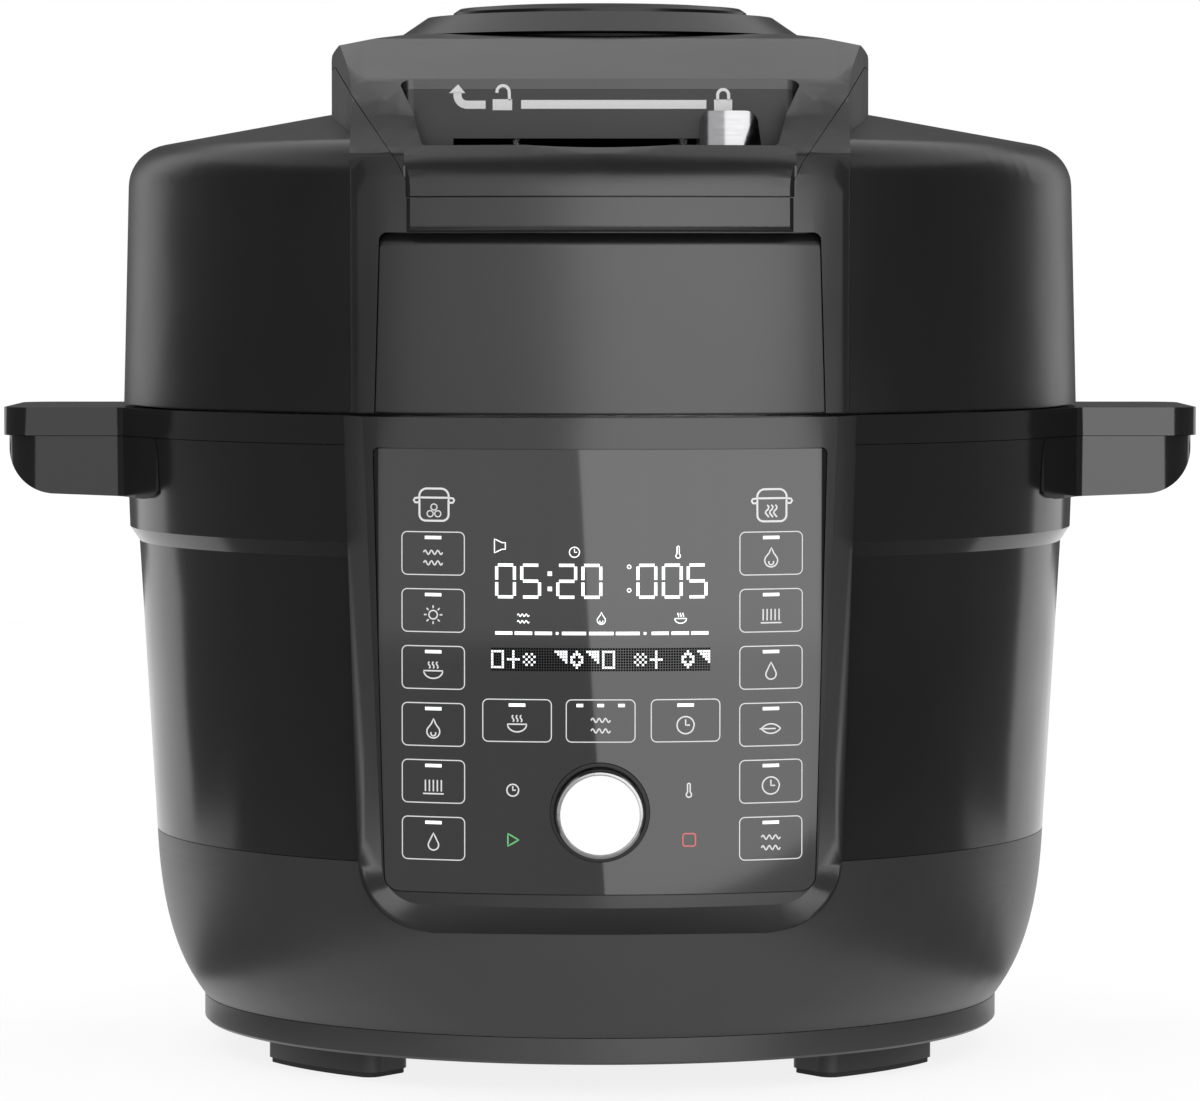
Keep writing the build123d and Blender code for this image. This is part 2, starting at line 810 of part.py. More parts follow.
# ---------------------------------------------------------------- lid: covers
with BuildPart() as lid_shell:
    add(lid_form(0))
    add(lid_form(wall), mode=Mode.SUBTRACT)
    tube(lid_r - wall, 100, lid_z - 1, 280, mode=Mode.SUBTRACT)
    post(0, 0, 290, 320, 52.3, mode=Mode.SUBTRACT)
    block((-66, -160, 284), (66, -96, 320), mode=Mode.SUBTRACT)
save(lid_shell, "lid_shell")

with BuildPart() as lid_band:
    add(crown_form(0, band_r))
    extrude(above_seam(0), amount=200, both=True, mode=Mode.SUBTRACT)
    add(crown_form(wall, 150), mode=Mode.SUBTRACT)
    add(lid_form(-0.05), mode=Mode.SUBTRACT)
    block((-60, 150, 200), (60, 170, 247), mode=Mode.SUBTRACT)
    extrude(recess_plan(1.8, tray_z - 2.4), amount=40, mode=Mode.SUBTRACT)
    block((-58, -146, 266), (58, -90, 330), mode=Mode.SUBTRACT)
    add(front_pocket(panel_outline(gap, trim_z[0] - 0.1), 157.2), mode=Mode.SUBTRACT)
save(lid_band, "lid_band")

with BuildPart() as lid_front_panel:
    add(front_pocket(panel_outline(0, panel_top_z), 157.5))
    turned(
        (0, 200),
        (160.9, 200),
        (160.9, panel_top_z - 4.2),
        (160.2, panel_top_z - 2.4),
        (158.2, panel_top_z),
        (0, panel_top_z),
        mode=Mode.INTERSECT,
    )
save(lid_front_panel, "lid_front_panel")

with BuildPart() as hood_cover:
    add(crown_form(0, hood_front_r))
    extrude(above_seam(0.2), amount=200, both=True, mode=Mode.INTERSECT)
    add(crown_form(wall, hood_front_r), mode=Mode.SUBTRACT)
    post(0, 0, 300, 345, 59, mode=Mode.SUBTRACT)
    extrude(recess_plan(0, tray_z - 2), amount=60, mode=Mode.SUBTRACT)
    add(lid_form(-0.1), mode=Mode.SUBTRACT)
    for side in (-1, 1):
        add(hood_corner(side), mode=Mode.SUBTRACT)
save(hood_cover, "hood_cover")

with BuildPart() as hood_trim:
    with BuildSketch(Plane.XY.offset(trim_z[0])):
        Circle(hood_front_r)
        Circle(band_r + 0.1, mode=Mode.SUBTRACT)
        with Locations((0, 100)):
            Rectangle(400, 400, mode=Mode.SUBTRACT)
        for side in (-1, 1):
            with Locations((side * 110, -150)):
                Rectangle(2 * (110 - 58.6), 200, mode=Mode.SUBTRACT)
    extrude(amount=trim_z[1] - trim_z[0])
    fillet(hood_trim.edges().group_by(Axis.Z)[0].sort_by(Axis.Y)[0], 2)
    for side in (-1, 1):
        add(hood_corner(side), mode=Mode.SUBTRACT)
save(hood_trim, "hood_trim")

with BuildPart() as recess_tray:
    extrude(recess_plan(1.4, tray_z - 2), amount=40)
    extrude(recess_plan(0, tray_z), amount=60, mode=Mode.SUBTRACT)
    add(crown_form(wall + 0.05, hood_front_r), mode=Mode.INTERSECT)
    block((-45.4, -112, 291), (48.4, -100, 294.6), mode=Mode.SUBTRACT)
save(recess_tray, "recess_tray")

with BuildPart() as top_disc:
    turned((49, 329.6), (cone_r, 329.6), (56.6, 336), (52, 336.4), (49, 336.4))
save(top_disc, "top_disc")

with BuildPart() as vent_cap:
    turned(
        (45.4, 330),
        (cap_r, 330),
        (cap_r, 337.6),
        (46, 338.9),
        (38, top_z),
        (0, top_z),
        (0, 337.3),
        (44, 337.3),
        (45.4, 336),
    )
save(vent_cap, "vent_cap")

with BuildPart() as steam_cup:
    turned((0, 298), (52, 298), (52, 329.3), (49.6, 329.3), (49.6, 300), (0, 300))
    post(*steam_at, 290, 305, 5.2, mode=Mode.SUBTRACT)
    post(*float_at, 290, 305, 6.7, mode=Mode.SUBTRACT)
save(steam_cup, "steam_cup")

# ---------------------------------------------------------------- lid: inside
with BuildPart() as lid_chassis:
    tube(152.6, cavity_r + 0.2, 218.5, 221)
    tube(152.6, 150.8, collar_z[1] + 0.4, 219)
    with BuildSketch(Plane.XY.offset(215)):
        with BuildLine():
            CenterArc((0, 0), 147.5, -112, 46)
            CenterArc((0, 0), 124.5, -112, 46)
            for end in (-112, -66):
                turn = math.radians(end)
                Line(
                    (147.5 * math.cos(turn), 147.5 * math.sin(turn)),
                    (124.5 * math.cos(turn), 124.5 * math.sin(turn)),
                )
        make_face()
    extrude(amount=10, mode=Mode.SUBTRACT)
    with PolarLocations(112, 4, start_angle=45):
        with Locations((0, 0, 220)):
            Cylinder(2.2, 6, mode=Mode.SUBTRACT)
save(lid_chassis, "lid_chassis")

with BuildPart() as lid_screws:
    with PolarLocations(112, 4, start_angle=45):
        with Locations((0, 0, 218.7)):
            Cylinder(2.0, 8)
        with Locations((0, 0, 222.2)):
            Cylinder(3.6, 2.2)
save(lid_screws, "lid_screws")

with BuildPart() as inner_lid:
    turned(
        (100, 214.8),
        (127, 214.8),
        (127, 216.4),
        (cavity_r, 216.4),
        (cavity_r, cavity_z + 1.2),
        (0, cavity_z + 1.2),
        (0, cavity_z),
        (100, cavity_z),
    )
    with PolarLocations(112, 4, start_angle=45):
        with Locations((0, 0, 215.6)):
            Cylinder(2.2, 6, mode=Mode.SUBTRACT)
    post(0, 0, 240, 250, 4.5, mode=Mode.SUBTRACT)
    post(*steam_at, 240, 250, 2.6, mode=Mode.SUBTRACT)
    post(*float_at, 240, 250, 3.4, mode=Mode.SUBTRACT)
    for side in (-1, 1):
        post(side * 9, 88.2, 240, 250, 3.5, mode=Mode.SUBTRACT)
save(inner_lid, "inner_lid")

with BuildPart() as sealing_ring:
    turned(
        (113.6, 206.4),
        (115, 205.9),
        (119, 205.9),
        (119.4, 206.6),
        (119.4, 213.8),
        (118, 214.7),
        (115, 214.7),
        (113.6, 213.8),
        (113.6, 211.4),
        (116, 210.6),
        (116, 209.4),
        (113.6, 208.6),
    )
save(sealing_ring, "sealing_ring")

with BuildPart() as fan_guard:
    tube(104, 0.001, 213.3, 214.6)
    with BuildSketch(Plane.XY.offset(212)):
        Circle(1)
        with PolarLocations(36, 18):
            SlotCenterToCenter(26, 3)
        with PolarLocations(75, 36):
            SlotCenterToCenter(32, 3.4)
    extrude(amount=4, mode=Mode.SUBTRACT)
save(fan_guard, "fan_guard")

with BuildPart() as heating_element:
    with BuildLine():
        loop = CenterArc((0, 0, 226), 88.66, 95.83, 348.34)
    with BuildSketch(Plane(origin=loop @ 0, z_dir=loop % 0)):
        Circle(3.1)
    sweep()
    for side in (-1, 1):
        post(side * 9, 88.2, 225, 252, 3.1)
save(heating_element, "heating_element")

with BuildPart() as fan_impeller:
    tube(55, 2.5, fan_z[1] - 1.2, fan_z[1])
    tube(8, 2.5, fan_z[0], fan_z[1] + 2)
    with BuildSketch(Plane.XY.offset(fan_z[0])):
        with PolarLocations(31, 9):
            with Locations(Location((0, 0), 28)):
                Rectangle(46, 1.4)
        Circle(54.5, mode=Mode.INTERSECT)
        Circle(2.5, mode=Mode.SUBTRACT)
    extrude(amount=fan_z[1] - fan_z[0])
save(fan_impeller, "fan_impeller")

with BuildPart() as fan_shaft:
    post(0, 0, fan_z[0] + 1, 262, 2.5)
save(fan_shaft, "fan_shaft")

with BuildPart() as fan_motor:
    turned(
        (2.5 + run_gap, 252),
        (10, 252),
        (10, 254),
        (26, 254),
        (26, 284),
        (8, 284),
        (8, 288),
        (0, 288),
        (0, 263),
        (2.5 + run_gap, 263),
    )
save(fan_motor, "fan_motor")

with BuildPart() as motor_bracket:
    tube(44, 10.3, 251.8, 253.9)
    for turn in (90, 210, 330):
        leg = (39 * math.cos(math.radians(turn)), 39 * math.sin(math.radians(turn)))
        post(*leg, cavity_z + 1.3, 252.5, 3.5)
    for at in (steam_at, float_at):
        post(*at, 245, 260, 9, mode=Mode.SUBTRACT)
save(motor_bracket, "motor_bracket")

with BuildPart() as valve_seat:
    post(*steam_at, cavity_z + 1.3, 249.3, 8)
    post(*steam_at, 248, 300, 5)
    post(*steam_at, 300, 308, 3.5)
    post(*steam_at, 245, 310, 2.0, mode=Mode.SUBTRACT)
save(valve_seat, "valve_seat")

with BuildPart() as steam_weight:
    post(*steam_at, 303, 320, 9.5)
    fillet(steam_weight.edges().filter_by(GeomType.CIRCLE).sort_by(Axis.Z)[-1], 2)
    post(*steam_at, 300, 308.3, 3.9, mode=Mode.SUBTRACT)
save(steam_weight, "steam_weight")

with BuildPart() as float_sleeve:
    post(*float_at, cavity_z + 1.3, 249.3, 8)
    post(*float_at, 248, 303, 6.5)
    post(*float_at, 245, 310, 3.0 + run_gap, mode=Mode.SUBTRACT)
save(float_sleeve, "float_sleeve")

with BuildPart() as float_valve:
    post(*float_at, 239.4, 306, 3.0)
    post(*float_at, 239.4, 241.6, 5.5)
save(float_valve, "float_valve")

# ---------------------------------------------------------------- lid: lock
lock_angle = math.degrees(math.atan2(slider_y - 2, slider_x))
with BuildPart() as lock_ring:
    tube(144, 134, 212, 216.4)
    with BuildSketch(Plane.XY.offset(211)):
        Circle(135)
        with PolarLocations(lug_in_r, 8, start_angle=22.5 + 6):
            Rectangle(30, 44, mode=Mode.SUBTRACT)
        Circle(lug_in_r, mode=Mode.SUBTRACT)
    extrude(amount=2.4)
    for side in (-1, 1):
        with Locations(Location((0, 0, 0), (0, 0, lock_angle))):
            with Locations((136, side * 6.3, 220)):
                Box(15, 4, 10)
save(lock_ring, "lock_ring")

with BuildPart() as ring_guides:
    with PolarLocations(0, 4, start_angle=45):
        with Locations((147, 0, 214.6)):
            Box(4.4, 16, 7.4)
        with Locations((145, 0, 211.25)):
            Box(8.4, 16, 0.7)
save(ring_guides, "ring_guides")

with BuildPart() as slider_knob:
    with BuildSketch(Plane.XZ.offset(112.4)) as front:
        with BuildLine():
            Polyline(
                (slider_x - 9.6, 291.3),
                (slider_x - 8.6, 302.7),
                (slider_x + 8.0, 302.7),
                (slider_x + 9.6, 291.3),
                close=True,
            )
        make_face()
        fillet(front.vertices().group_by(Axis.Y)[-1].sort_by(Axis.X)[0], 2.6)
        fillet(front.vertices().group_by(Axis.Y)[-1].sort_by(Axis.X)[-1], 4)
    extrude(amount=17.6)
    with BuildSketch(Plane.XY.offset(290)):
        with Locations((slider_x, -115.4)):
            Circle(14.6)
        with Locations((slider_x, -108)):
            Rectangle(29.2, 14.8)
    extrude(amount=15, mode=Mode.INTERSECT)
    block((slider_x - 7, -112.4, 291.6), (slider_x + 7, -104, 294.0))
save(slider_knob, "slider_knob")

with BuildPart() as slider_carriage:
    block((slider_x - 10, -104, 281.6), (slider_x + 10, -98, 297))
    block((slider_x - 7, -135, 281.6), (slider_x + 7, -98, 285.6))
    block((slider_x - 7, -135, 236), (slider_x + 7, -129, 285.6))
    post(slider_x, slider_y - 2, 217.6, 237, 3)
save(slider_carriage, "slider_carriage")
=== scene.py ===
import json
import math

import bpy
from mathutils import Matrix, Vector


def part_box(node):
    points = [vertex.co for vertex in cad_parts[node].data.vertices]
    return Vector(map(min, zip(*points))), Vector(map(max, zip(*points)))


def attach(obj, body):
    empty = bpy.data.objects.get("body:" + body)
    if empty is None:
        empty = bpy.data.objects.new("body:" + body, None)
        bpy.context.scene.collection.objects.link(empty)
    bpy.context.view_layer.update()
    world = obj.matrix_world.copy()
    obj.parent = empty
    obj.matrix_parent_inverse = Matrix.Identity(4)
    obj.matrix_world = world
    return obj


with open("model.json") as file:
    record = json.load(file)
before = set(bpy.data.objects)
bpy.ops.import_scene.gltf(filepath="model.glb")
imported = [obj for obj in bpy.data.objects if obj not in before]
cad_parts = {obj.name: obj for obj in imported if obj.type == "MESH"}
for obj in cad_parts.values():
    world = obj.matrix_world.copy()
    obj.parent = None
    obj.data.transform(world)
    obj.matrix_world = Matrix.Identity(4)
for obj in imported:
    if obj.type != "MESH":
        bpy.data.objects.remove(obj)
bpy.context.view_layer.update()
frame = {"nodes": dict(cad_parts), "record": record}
MM = 0.001

# Driving dimensions of the front glass and its printing, millimetres
glass_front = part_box("control_glass")[0][1]
glass_r = -glass_front / MM
print_proud = 0.10
print_sunk = 0.20

# Front of the lid recess's back wall, along y
tray_wall_y = -110.8

# How the housings' faces join: seams closer than weld_gap close, sharper edges stay crisp
weld_gap = 0.000003
crisp_edge = math.radians(28)


# ---------------------------------------------------------------- materials
def shader(name, colour, roughness, metallic=0.0, specular=0.5, coat=0.0, coat_rough=0.1):
    """A new material with a principled shader; returns the material, its nodes, links, shader."""
    mat = bpy.data.materials.new(name)
    mat.use_nodes = True
    nodes, links = mat.node_tree.nodes, mat.node_tree.links
    surface = nodes["Principled BSDF"]
    surface.inputs["Base Color"].default_value = (*colour, 1)
    surface.inputs["Roughness"].default_value = roughness
    surface.inputs["Metallic"].default_value = metallic
    surface.inputs["Specular IOR Level"].default_value = specular
    surface.inputs["Coat Weight"].default_value = coat
    surface.inputs["Coat Roughness"].default_value = coat_rough
    return mat, nodes, links, surface


def noise(nodes, links, scale, detail=4.0, stretch=(1, 1, 1)):
    """A noise texture in object space, stretched along an axis for brushing."""
    place = nodes.new("ShaderNodeTexCoord")
    warp = nodes.new("ShaderNodeMapping")
    warp.inputs["Scale"].default_value = stretch
    texture = nodes.new("ShaderNodeTexNoise")
    texture.inputs["Scale"].default_value = scale
    texture.inputs["Detail"].default_value = detail
    links.new(place.outputs["Object"], warp.inputs["Vector"])
    links.new(warp.outputs["Vector"], texture.inputs["Vector"])
    return texture.outputs["Fac"]


def spread(nodes, links, source, low, high):
    """Map a 0-1 texture to a range of values."""
    span = nodes.new("ShaderNodeMapRange")
    span.inputs["From Min"].default_value = 0.3
    span.inputs["From Max"].default_value = 0.7
    span.inputs["To Min"].default_value = low
    span.inputs["To Max"].default_value = high
    links.new(source, span.inputs["Value"])
    return span.outputs["Result"]


def tint(nodes, links, source, dark, light):
    """Blend between two colours by a texture."""
    ramp = nodes.new("ShaderNodeValToRGB")
    ramp.color_ramp.elements[0].position = 0.3
    ramp.color_ramp.elements[1].position = 0.7
    ramp.color_ramp.elements[0].color = (*dark, 1)
    ramp.color_ramp.elements[1].color = (*light, 1)
    links.new(source, ramp.inputs["Fac"])
    return ramp.outputs["Color"]


def relief(nodes, links, surface, source, strength, depth):
    """Fine bump of a given depth in metres."""
    bump = nodes.new("ShaderNodeBump")
    bump.inputs["Strength"].default_value = strength
    bump.inputs["Distance"].default_value = depth
    links.new(source, bump.inputs["Height"])
    links.new(bump.outputs["Normal"], surface.inputs["Normal"])


def grained(name, colour, rough, specular, grain=2200.0, strength=0.25, coat=0.0):
    """Moulded plastic: fine spark texture, uneven gloss, a little colour drift."""
    mat, nodes, links, surface = shader(name, colour, rough[0], specular=specular, coat=coat)
    drift = noise(nodes, links, 14.0, 3.0)
    fine = noise(nodes, links, grain, 2.0)
    links.new(spread(nodes, links, drift, rough[0], rough[1]), surface.inputs["Roughness"])
    light = tuple(c * 1.25 + 0.001 for c in colour)
    links.new(tint(nodes, links, drift, colour, light), surface.inputs["Base Color"])
    relief(nodes, links, surface, fine, strength, 0.00004)
    return mat


def brushed(name, colour, rough, stretch, scale=900.0, strength=0.2):
    """Metal with directional brushing."""
    mat, nodes, links, surface = shader(name, colour, rough[0], metallic=1.0)
    lines = noise(nodes, links, scale, 3.0, stretch)
    links.new(spread(nodes, links, lines, rough[0], rough[1]), surface.inputs["Roughness"])
    dark = tuple(c * 0.86 for c in colour)
    links.new(tint(nodes, links, lines, dark, colour), surface.inputs["Base Color"])
    relief(nodes, links, surface, lines, strength, 0.00003)
    return mat


def glowing(name, colour, strength):
    """A lit display segment under glass."""
    mat, nodes, links, surface = shader(name, colour, 0.35)
    cells = noise(nodes, links, 1500.0, 1.0)
    near = tuple(c * 0.94 for c in colour)
    shade = tint(nodes, links, cells, near, colour)
    links.new(shade, surface.inputs["Base Color"])
    links.new(shade, surface.inputs["Emission Color"])
    surface.inputs["Emission Strength"].default_value = strength
    return mat


def ink(name, colour):
    """Screen-printed ink with slightly uneven cover."""
    mat, nodes, links, surface = shader(name, colour, 0.45)
    cover = noise(nodes, links, 3000.0, 2.0)
    thin = tuple(c * 0.9 for c in colour)
    links.new(tint(nodes, links, cover, thin, colour), surface.inputs["Base Color"])
    return mat


def smoked_glass():
    """Dark polished glass, a little uneven in tone and gloss."""
    mat, nodes, links, surface = shader("control_glass", (0.006,) * 3, 0.04, specular=0.5)
    drift = noise(nodes, links, 9.0, 2.0)
    links.new(tint(nodes, links, drift, (0.005,) * 3, (0.007,) * 3), surface.inputs["Base Color"])
    links.new(spread(nodes, links, drift, 0.03, 0.07), surface.inputs["Roughness"])
    return mat


def clear_plastic():
    """Clear moulded plastic of the condensation cup."""
    mat, nodes, links, surface = shader("clear_plastic", (0.86, 0.88, 0.9), 0.08)
    surface.inputs["Transmission Weight"].default_value = 0.85
    surface.inputs["IOR"].default_value = 1.49
    drift = noise(nodes, links, 60.0, 2.0)
    links.new(spread(nodes, links, drift, 0.06, 0.16), surface.inputs["Roughness"])
    return mat


def circuit_board():
    """Green solder mask with copper tracks under it."""
    mat, nodes, links, surface = shader("circuit_board", (0.01, 0.1, 0.03), 0.3)
    place = nodes.new("ShaderNodeTexCoord")
    tracks = nodes.new("ShaderNodeTexBrick")
    tracks.inputs["Scale"].default_value = 160.0
    tracks.inputs["Color1"].default_value = (0.008, 0.075, 0.022, 1)
    tracks.inputs["Color2"].default_value = (0.012, 0.11, 0.032, 1)
    tracks.inputs["Mortar"].default_value = (0.05, 0.2, 0.07, 1)
    tracks.inputs["Mortar Size"].default_value = 0.03
    links.new(place.outputs["Object"], tracks.inputs["Vector"])
    links.new(tracks.outputs["Color"], surface.inputs["Base Color"])
    return mat


ALONG_X = (0.04, 1, 1)
ALONG_Z = (1, 1, 0.04)
EVEN = (1, 1, 1)
slots = {
    "base_plastic": grained("base_plastic", (0.018,) * 3, (0.32, 0.38), 0.5, strength=0.12),
    "body_plastic": grained("body_plastic", (0.007,) * 3, (0.12, 0.16), 0.42, strength=0.05),
    "fascia_plastic": grained("fascia_plastic", (0.010,) * 3, (0.18, 0.24), 0.4, strength=0.08),
    "control_glass": smoked_glass(),
    "lid_plastic": grained("lid_plastic", (0.004,) * 3, (0.27, 0.33), 0.4, strength=0.1),
    "band_plastic": grained("band_plastic", (0.007,) * 3, (0.28, 0.34), 0.45, strength=0.1),
    "gloss_black": grained("gloss_black", (0.004,) * 3, (0.26, 0.32), 0.25, strength=0.06),
    "chrome": brushed("chrome", (0.22, 0.22, 0.225), (0.10, 0.18), ALONG_X),
    "dial_white": grained("dial_white", (0.85,) * 3, (0.35, 0.42), 0.5, strength=0.08),
    "foot_rubber": grained("foot_rubber", (0.012,) * 3, (0.75, 0.85), 0.3, strength=0.5),
    "stainless": brushed(
        "stainless", (0.6, 0.6, 0.61), (0.2, 0.28), ALONG_Z, scale=500.0, strength=0.06
    ),
    "aluminium": brushed(
        "aluminium", (0.64, 0.64, 0.65), (0.3, 0.38), EVEN, scale=420.0, strength=0.05
    ),
    "steel": brushed("steel", (0.5, 0.5, 0.52), (0.22, 0.34), ALONG_X),
    "element_steel": brushed("element_steel", (0.16, 0.15, 0.14), (0.4, 0.55), EVEN),
    "silicone": grained("silicone", (0.55, 0.55, 0.53), (0.5, 0.6), 0.4, strength=0.15),
    "inner_plastic": grained("inner_plastic", (0.012,) * 3, (0.4, 0.5), 0.35),
    "clear_plastic": clear_plastic(),
    "circuit_board": circuit_board(),
}

for sub_part in frame["record"]["subparts"]:
    node = frame["nodes"][sub_part["node"]]
    node.data.materials.clear()
    node.data.materials.append(slots[sub_part["material_slot"]])
    for face in node.data.polygons:
        face.use_smooth = True
        face.material_index = 0
    seam = node.modifiers.new("seam", "WELD")
    seam.merge_threshold = weld_gap
    crease = node.modifiers.new("crease", "EDGE_SPLIT")
    crease.split_angle = crisp_edge
    crease.use_edge_sharp = False
    normals = node.modifiers.new("normals", "WEIGHTED_NORMAL")
    normals.keep_sharp = True

white_ink = ink("white_ink", (0.75,) * 3)
green_ink = ink("green_ink", (0.12, 0.55, 0.16))
red_ink = ink("red_ink", (0.62, 0.12, 0.12))
lit = glowing("lit_segment", (0.9, 0.93, 0.95), 0.9)
matrix_dark = grained("matrix_dark", (0.002,) * 3, (0.85, 0.95), 0.0)


# ---------------------------------------------------------------- printing on curved glass
def on_glass(x, z, lift):
    """A front-view point laid on the glass cylinder, in metres."""
    radius = glass_r + lift
    return (x * MM, -math.sqrt(radius * radius - x * x) * MM, z * MM)


def on_tray(x, z, lift):
    """A front-view point laid on the recess's back wall, in metres."""
    return (x * MM, (tray_wall_y - lift) * MM, z * MM)


def densified(points, closed, step=1.2):
    """The same path with no run longer than step."""
    path = []
    pairs = list(zip(points, points[1:] + points[:1])) if closed else list(zip(points, points[1:]))
    for a, b in pairs:
        count = max(1, math.ceil(math.dist(a, b) / step))
        for i in range(count):
            path.append((a[0] + (b[0] - a[0]) * i / count, a[1] + (b[1] - a[1]) * i / count))
    if not closed:
        path.append(points[-1])
    return path


def arc(cx, cz, radius, start, end, count=10, squash=1.0):
    """Points along an arc, angles in degrees."""
    turns = [math.radians(start + (end - start) * i / count) for i in range(count + 1)]
    return [(cx + radius * math.cos(t), cz + radius * squash * math.sin(t)) for t in turns]


def rounded(x0, z0, x1, z1, radius):
    """A closed rectangle with round corners."""
    path = []
    for cx, cz, start in (
        (x1 - radius, z1 - radius, 0),
        (x0 + radius, z1 - radius, 90),
        (x0 + radius, z0 + radius, 180),
        (x1 - radius, z0 + radius, 270),
    ):
        path += arc(cx, cz, radius, start, start + 90, 5)
    return path


class Print:
    """Collects strokes into one thin closed mesh laid on a surface."""

    def __init__(self, name, place, proud=print_proud, sunk=print_sunk):
        self.name, self.place, self.proud, self.sunk = name, place, proud, sunk
        self.points, self.faces = [], []

    def stroke(self, points, width, closed=False):
        """A line of the given width along a path."""
        path = densified([tuple(p) for p in points], closed)
        count = len(path)
        base = len(self.points)
        for i, (x, z) in enumerate(path):
            before = path[i - 1] if closed or i else path[i]
            after = path[(i + 1) % count] if closed or i < count - 1 else path[i]
            dx, dz = after[0] - before[0], after[1] - before[1]
            length = math.hypot(dx, dz) or 1.0
            nx, nz = -dz / length * width / 2, dx / length * width / 2
            for lift in (self.proud, -self.sunk):
                self.points.append(self.place(x + nx, z + nz, lift))
                self.points.append(self.place(x - nx, z - nz, lift))
        steps = count if closed else count - 1
        for i in range(steps):
            a, b = base + 4 * i, base + 4 * ((i + 1) % count)
            self.faces += [
                (a, a + 1, b + 1, b),
                (a + 3, a + 2, b + 2, b + 3),
                (a + 2, a, b, b + 2),
                (a + 1, a + 3, b + 3, b + 1),
            ]
        if not closed:
            end = base + 4 * (count - 1)
            self.faces += [(base, base + 2, base + 3, base + 1), (end, end + 1, end + 3, end + 2)]

    def fill(self, points):
        """A small convex filled shape."""
        base, count = len(self.points), len(points)
        for lift in (self.proud, -self.sunk):
            self.points += [self.place(x, z, lift) for x, z in points]
        self.faces.append(tuple(range(base, base + count)))
        self.faces.append(tuple(range(base + 2 * count - 1, base + count - 1, -1)))
        for i in range(count):
            j = (i + 1) % count
            self.faces.append((base + j, base + i, base + count + i, base + count + j))

    def bar(self, x0, x1, z, height):
        """A solid horizontal bar."""
        self.stroke([(x0, z), (x1, z)], height)

    def build(self, body, material):
        """Make the mesh object and put it on its body."""
        mesh = bpy.data.meshes.new(self.name)
        mesh.from_pydata(self.points, [], self.faces)
        mesh.materials.append(material)
        mesh.update()
        piece = bpy.data.objects.new(self.name, mesh)
        bpy.context.scene.collection.objects.link(piece)
        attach(piece, body)
        return piece


# Pictograms, each drawn round a centre and scaled by size
def waves(sheet, cx, cz, size, line):
    for row in (-0.55, 0.55):
        path = [
            (cx + size * (i / 12 - 1), cz + size * (row + 0.22 * math.sin(i * math.pi / 4)))
            for i in range(25)
        ]
        sheet.stroke(path, line)


def flame(sheet, cx, cz, size, line):
    left = arc(cx, cz - size * 0.3, size * 0.68, 150, 270, 8)
    right = arc(cx, cz - size * 0.3, size * 0.68, 270, 390, 8)
    tip = [(cx + size * 0.28, cz + size * 0.45), (cx + size * 0.02, cz + size * 1.05)]
    sheet.stroke(left + right + tip + [(cx - size * 0.22, cz + size * 0.5)], line, closed=True)
    sheet.stroke(arc(cx, cz - size * 0.5, size * 0.26, 150, 390, 8), line)


def grate(sheet, cx, cz, size, line):
    for i in range(-2, 3):
        x = cx + i * size * 0.42
        sheet.stroke([(x, cz - size * 0.6), (x, cz + size * 0.6)], line)
    sheet.stroke([(cx - size * 1.1, cz - size * 0.85), (cx + size * 1.1, cz - size * 0.85)], line)


def drop(sheet, cx, cz, size, line):
    side = arc(cx, cz - size * 0.25, size * 0.55, -215, 35, 14)
    sheet.stroke([(cx, cz + size)] + side, line, closed=True)


def leaf(sheet, cx, cz, size, line):
    upper = arc(cx, cz - size * 0.75, size * 1.25, 37, 143, 10)
    lower = arc(cx, cz + size * 0.75, size * 1.25, 217, 323, 10)
    sheet.stroke(upper + lower, line, closed=True)
    sheet.stroke([(cx - size * 1.2, cz), (cx + size * 0.5, cz)], line)


def clock(sheet, cx, cz, size, line):
    sheet.stroke(arc(cx, cz, size * 0.9, 0, 345, 22)[:-1], line, closed=True)
    sheet.stroke([(cx, cz + size * 0.6), (cx, cz), (cx + size * 0.45, cz)], line)


def sun(sheet, cx, cz, size, line):
    sheet.stroke(arc(cx, cz, size * 0.45, 0, 340, 16), line, closed=True)
    for i in range(8):
        turn = i * math.pi / 4
        inner, outer = size * 0.68, size * 0.98
        sheet.stroke(
            [
                (cx + inner * math.cos(turn), cz + inner * math.sin(turn)),
                (cx + outer * math.cos(turn), cz + outer * math.sin(turn)),
            ],
            line,
        )


def bowl(sheet, cx, cz, size, line):
    sheet.stroke(arc(cx, cz + size * 0.1, size, 180, 360, 14, 0.8), line, closed=True)
    for i in (-1, 0, 1):
        path = [
            (cx + size * (i * 0.42 + 0.1 * math.sin(k * 1.3)), cz + size * (0.35 + k * 0.14))
            for k in range(6)
        ]
        sheet.stroke(path, line)


def thermometer(sheet, cx, cz, size, line):
    sheet.stroke(arc(cx, cz - size * 0.6, size * 0.38, 120, 420, 14), line)
    sheet.stroke(
        [(cx - size * 0.19, cz - size * 0.27), (cx - size * 0.19, cz + size * 0.85)]
        + arc(cx, cz + size * 0.85, size * 0.19, 180, 0, 6)
        + [(cx + size * 0.19, cz - size * 0.27)],
        line,
    )


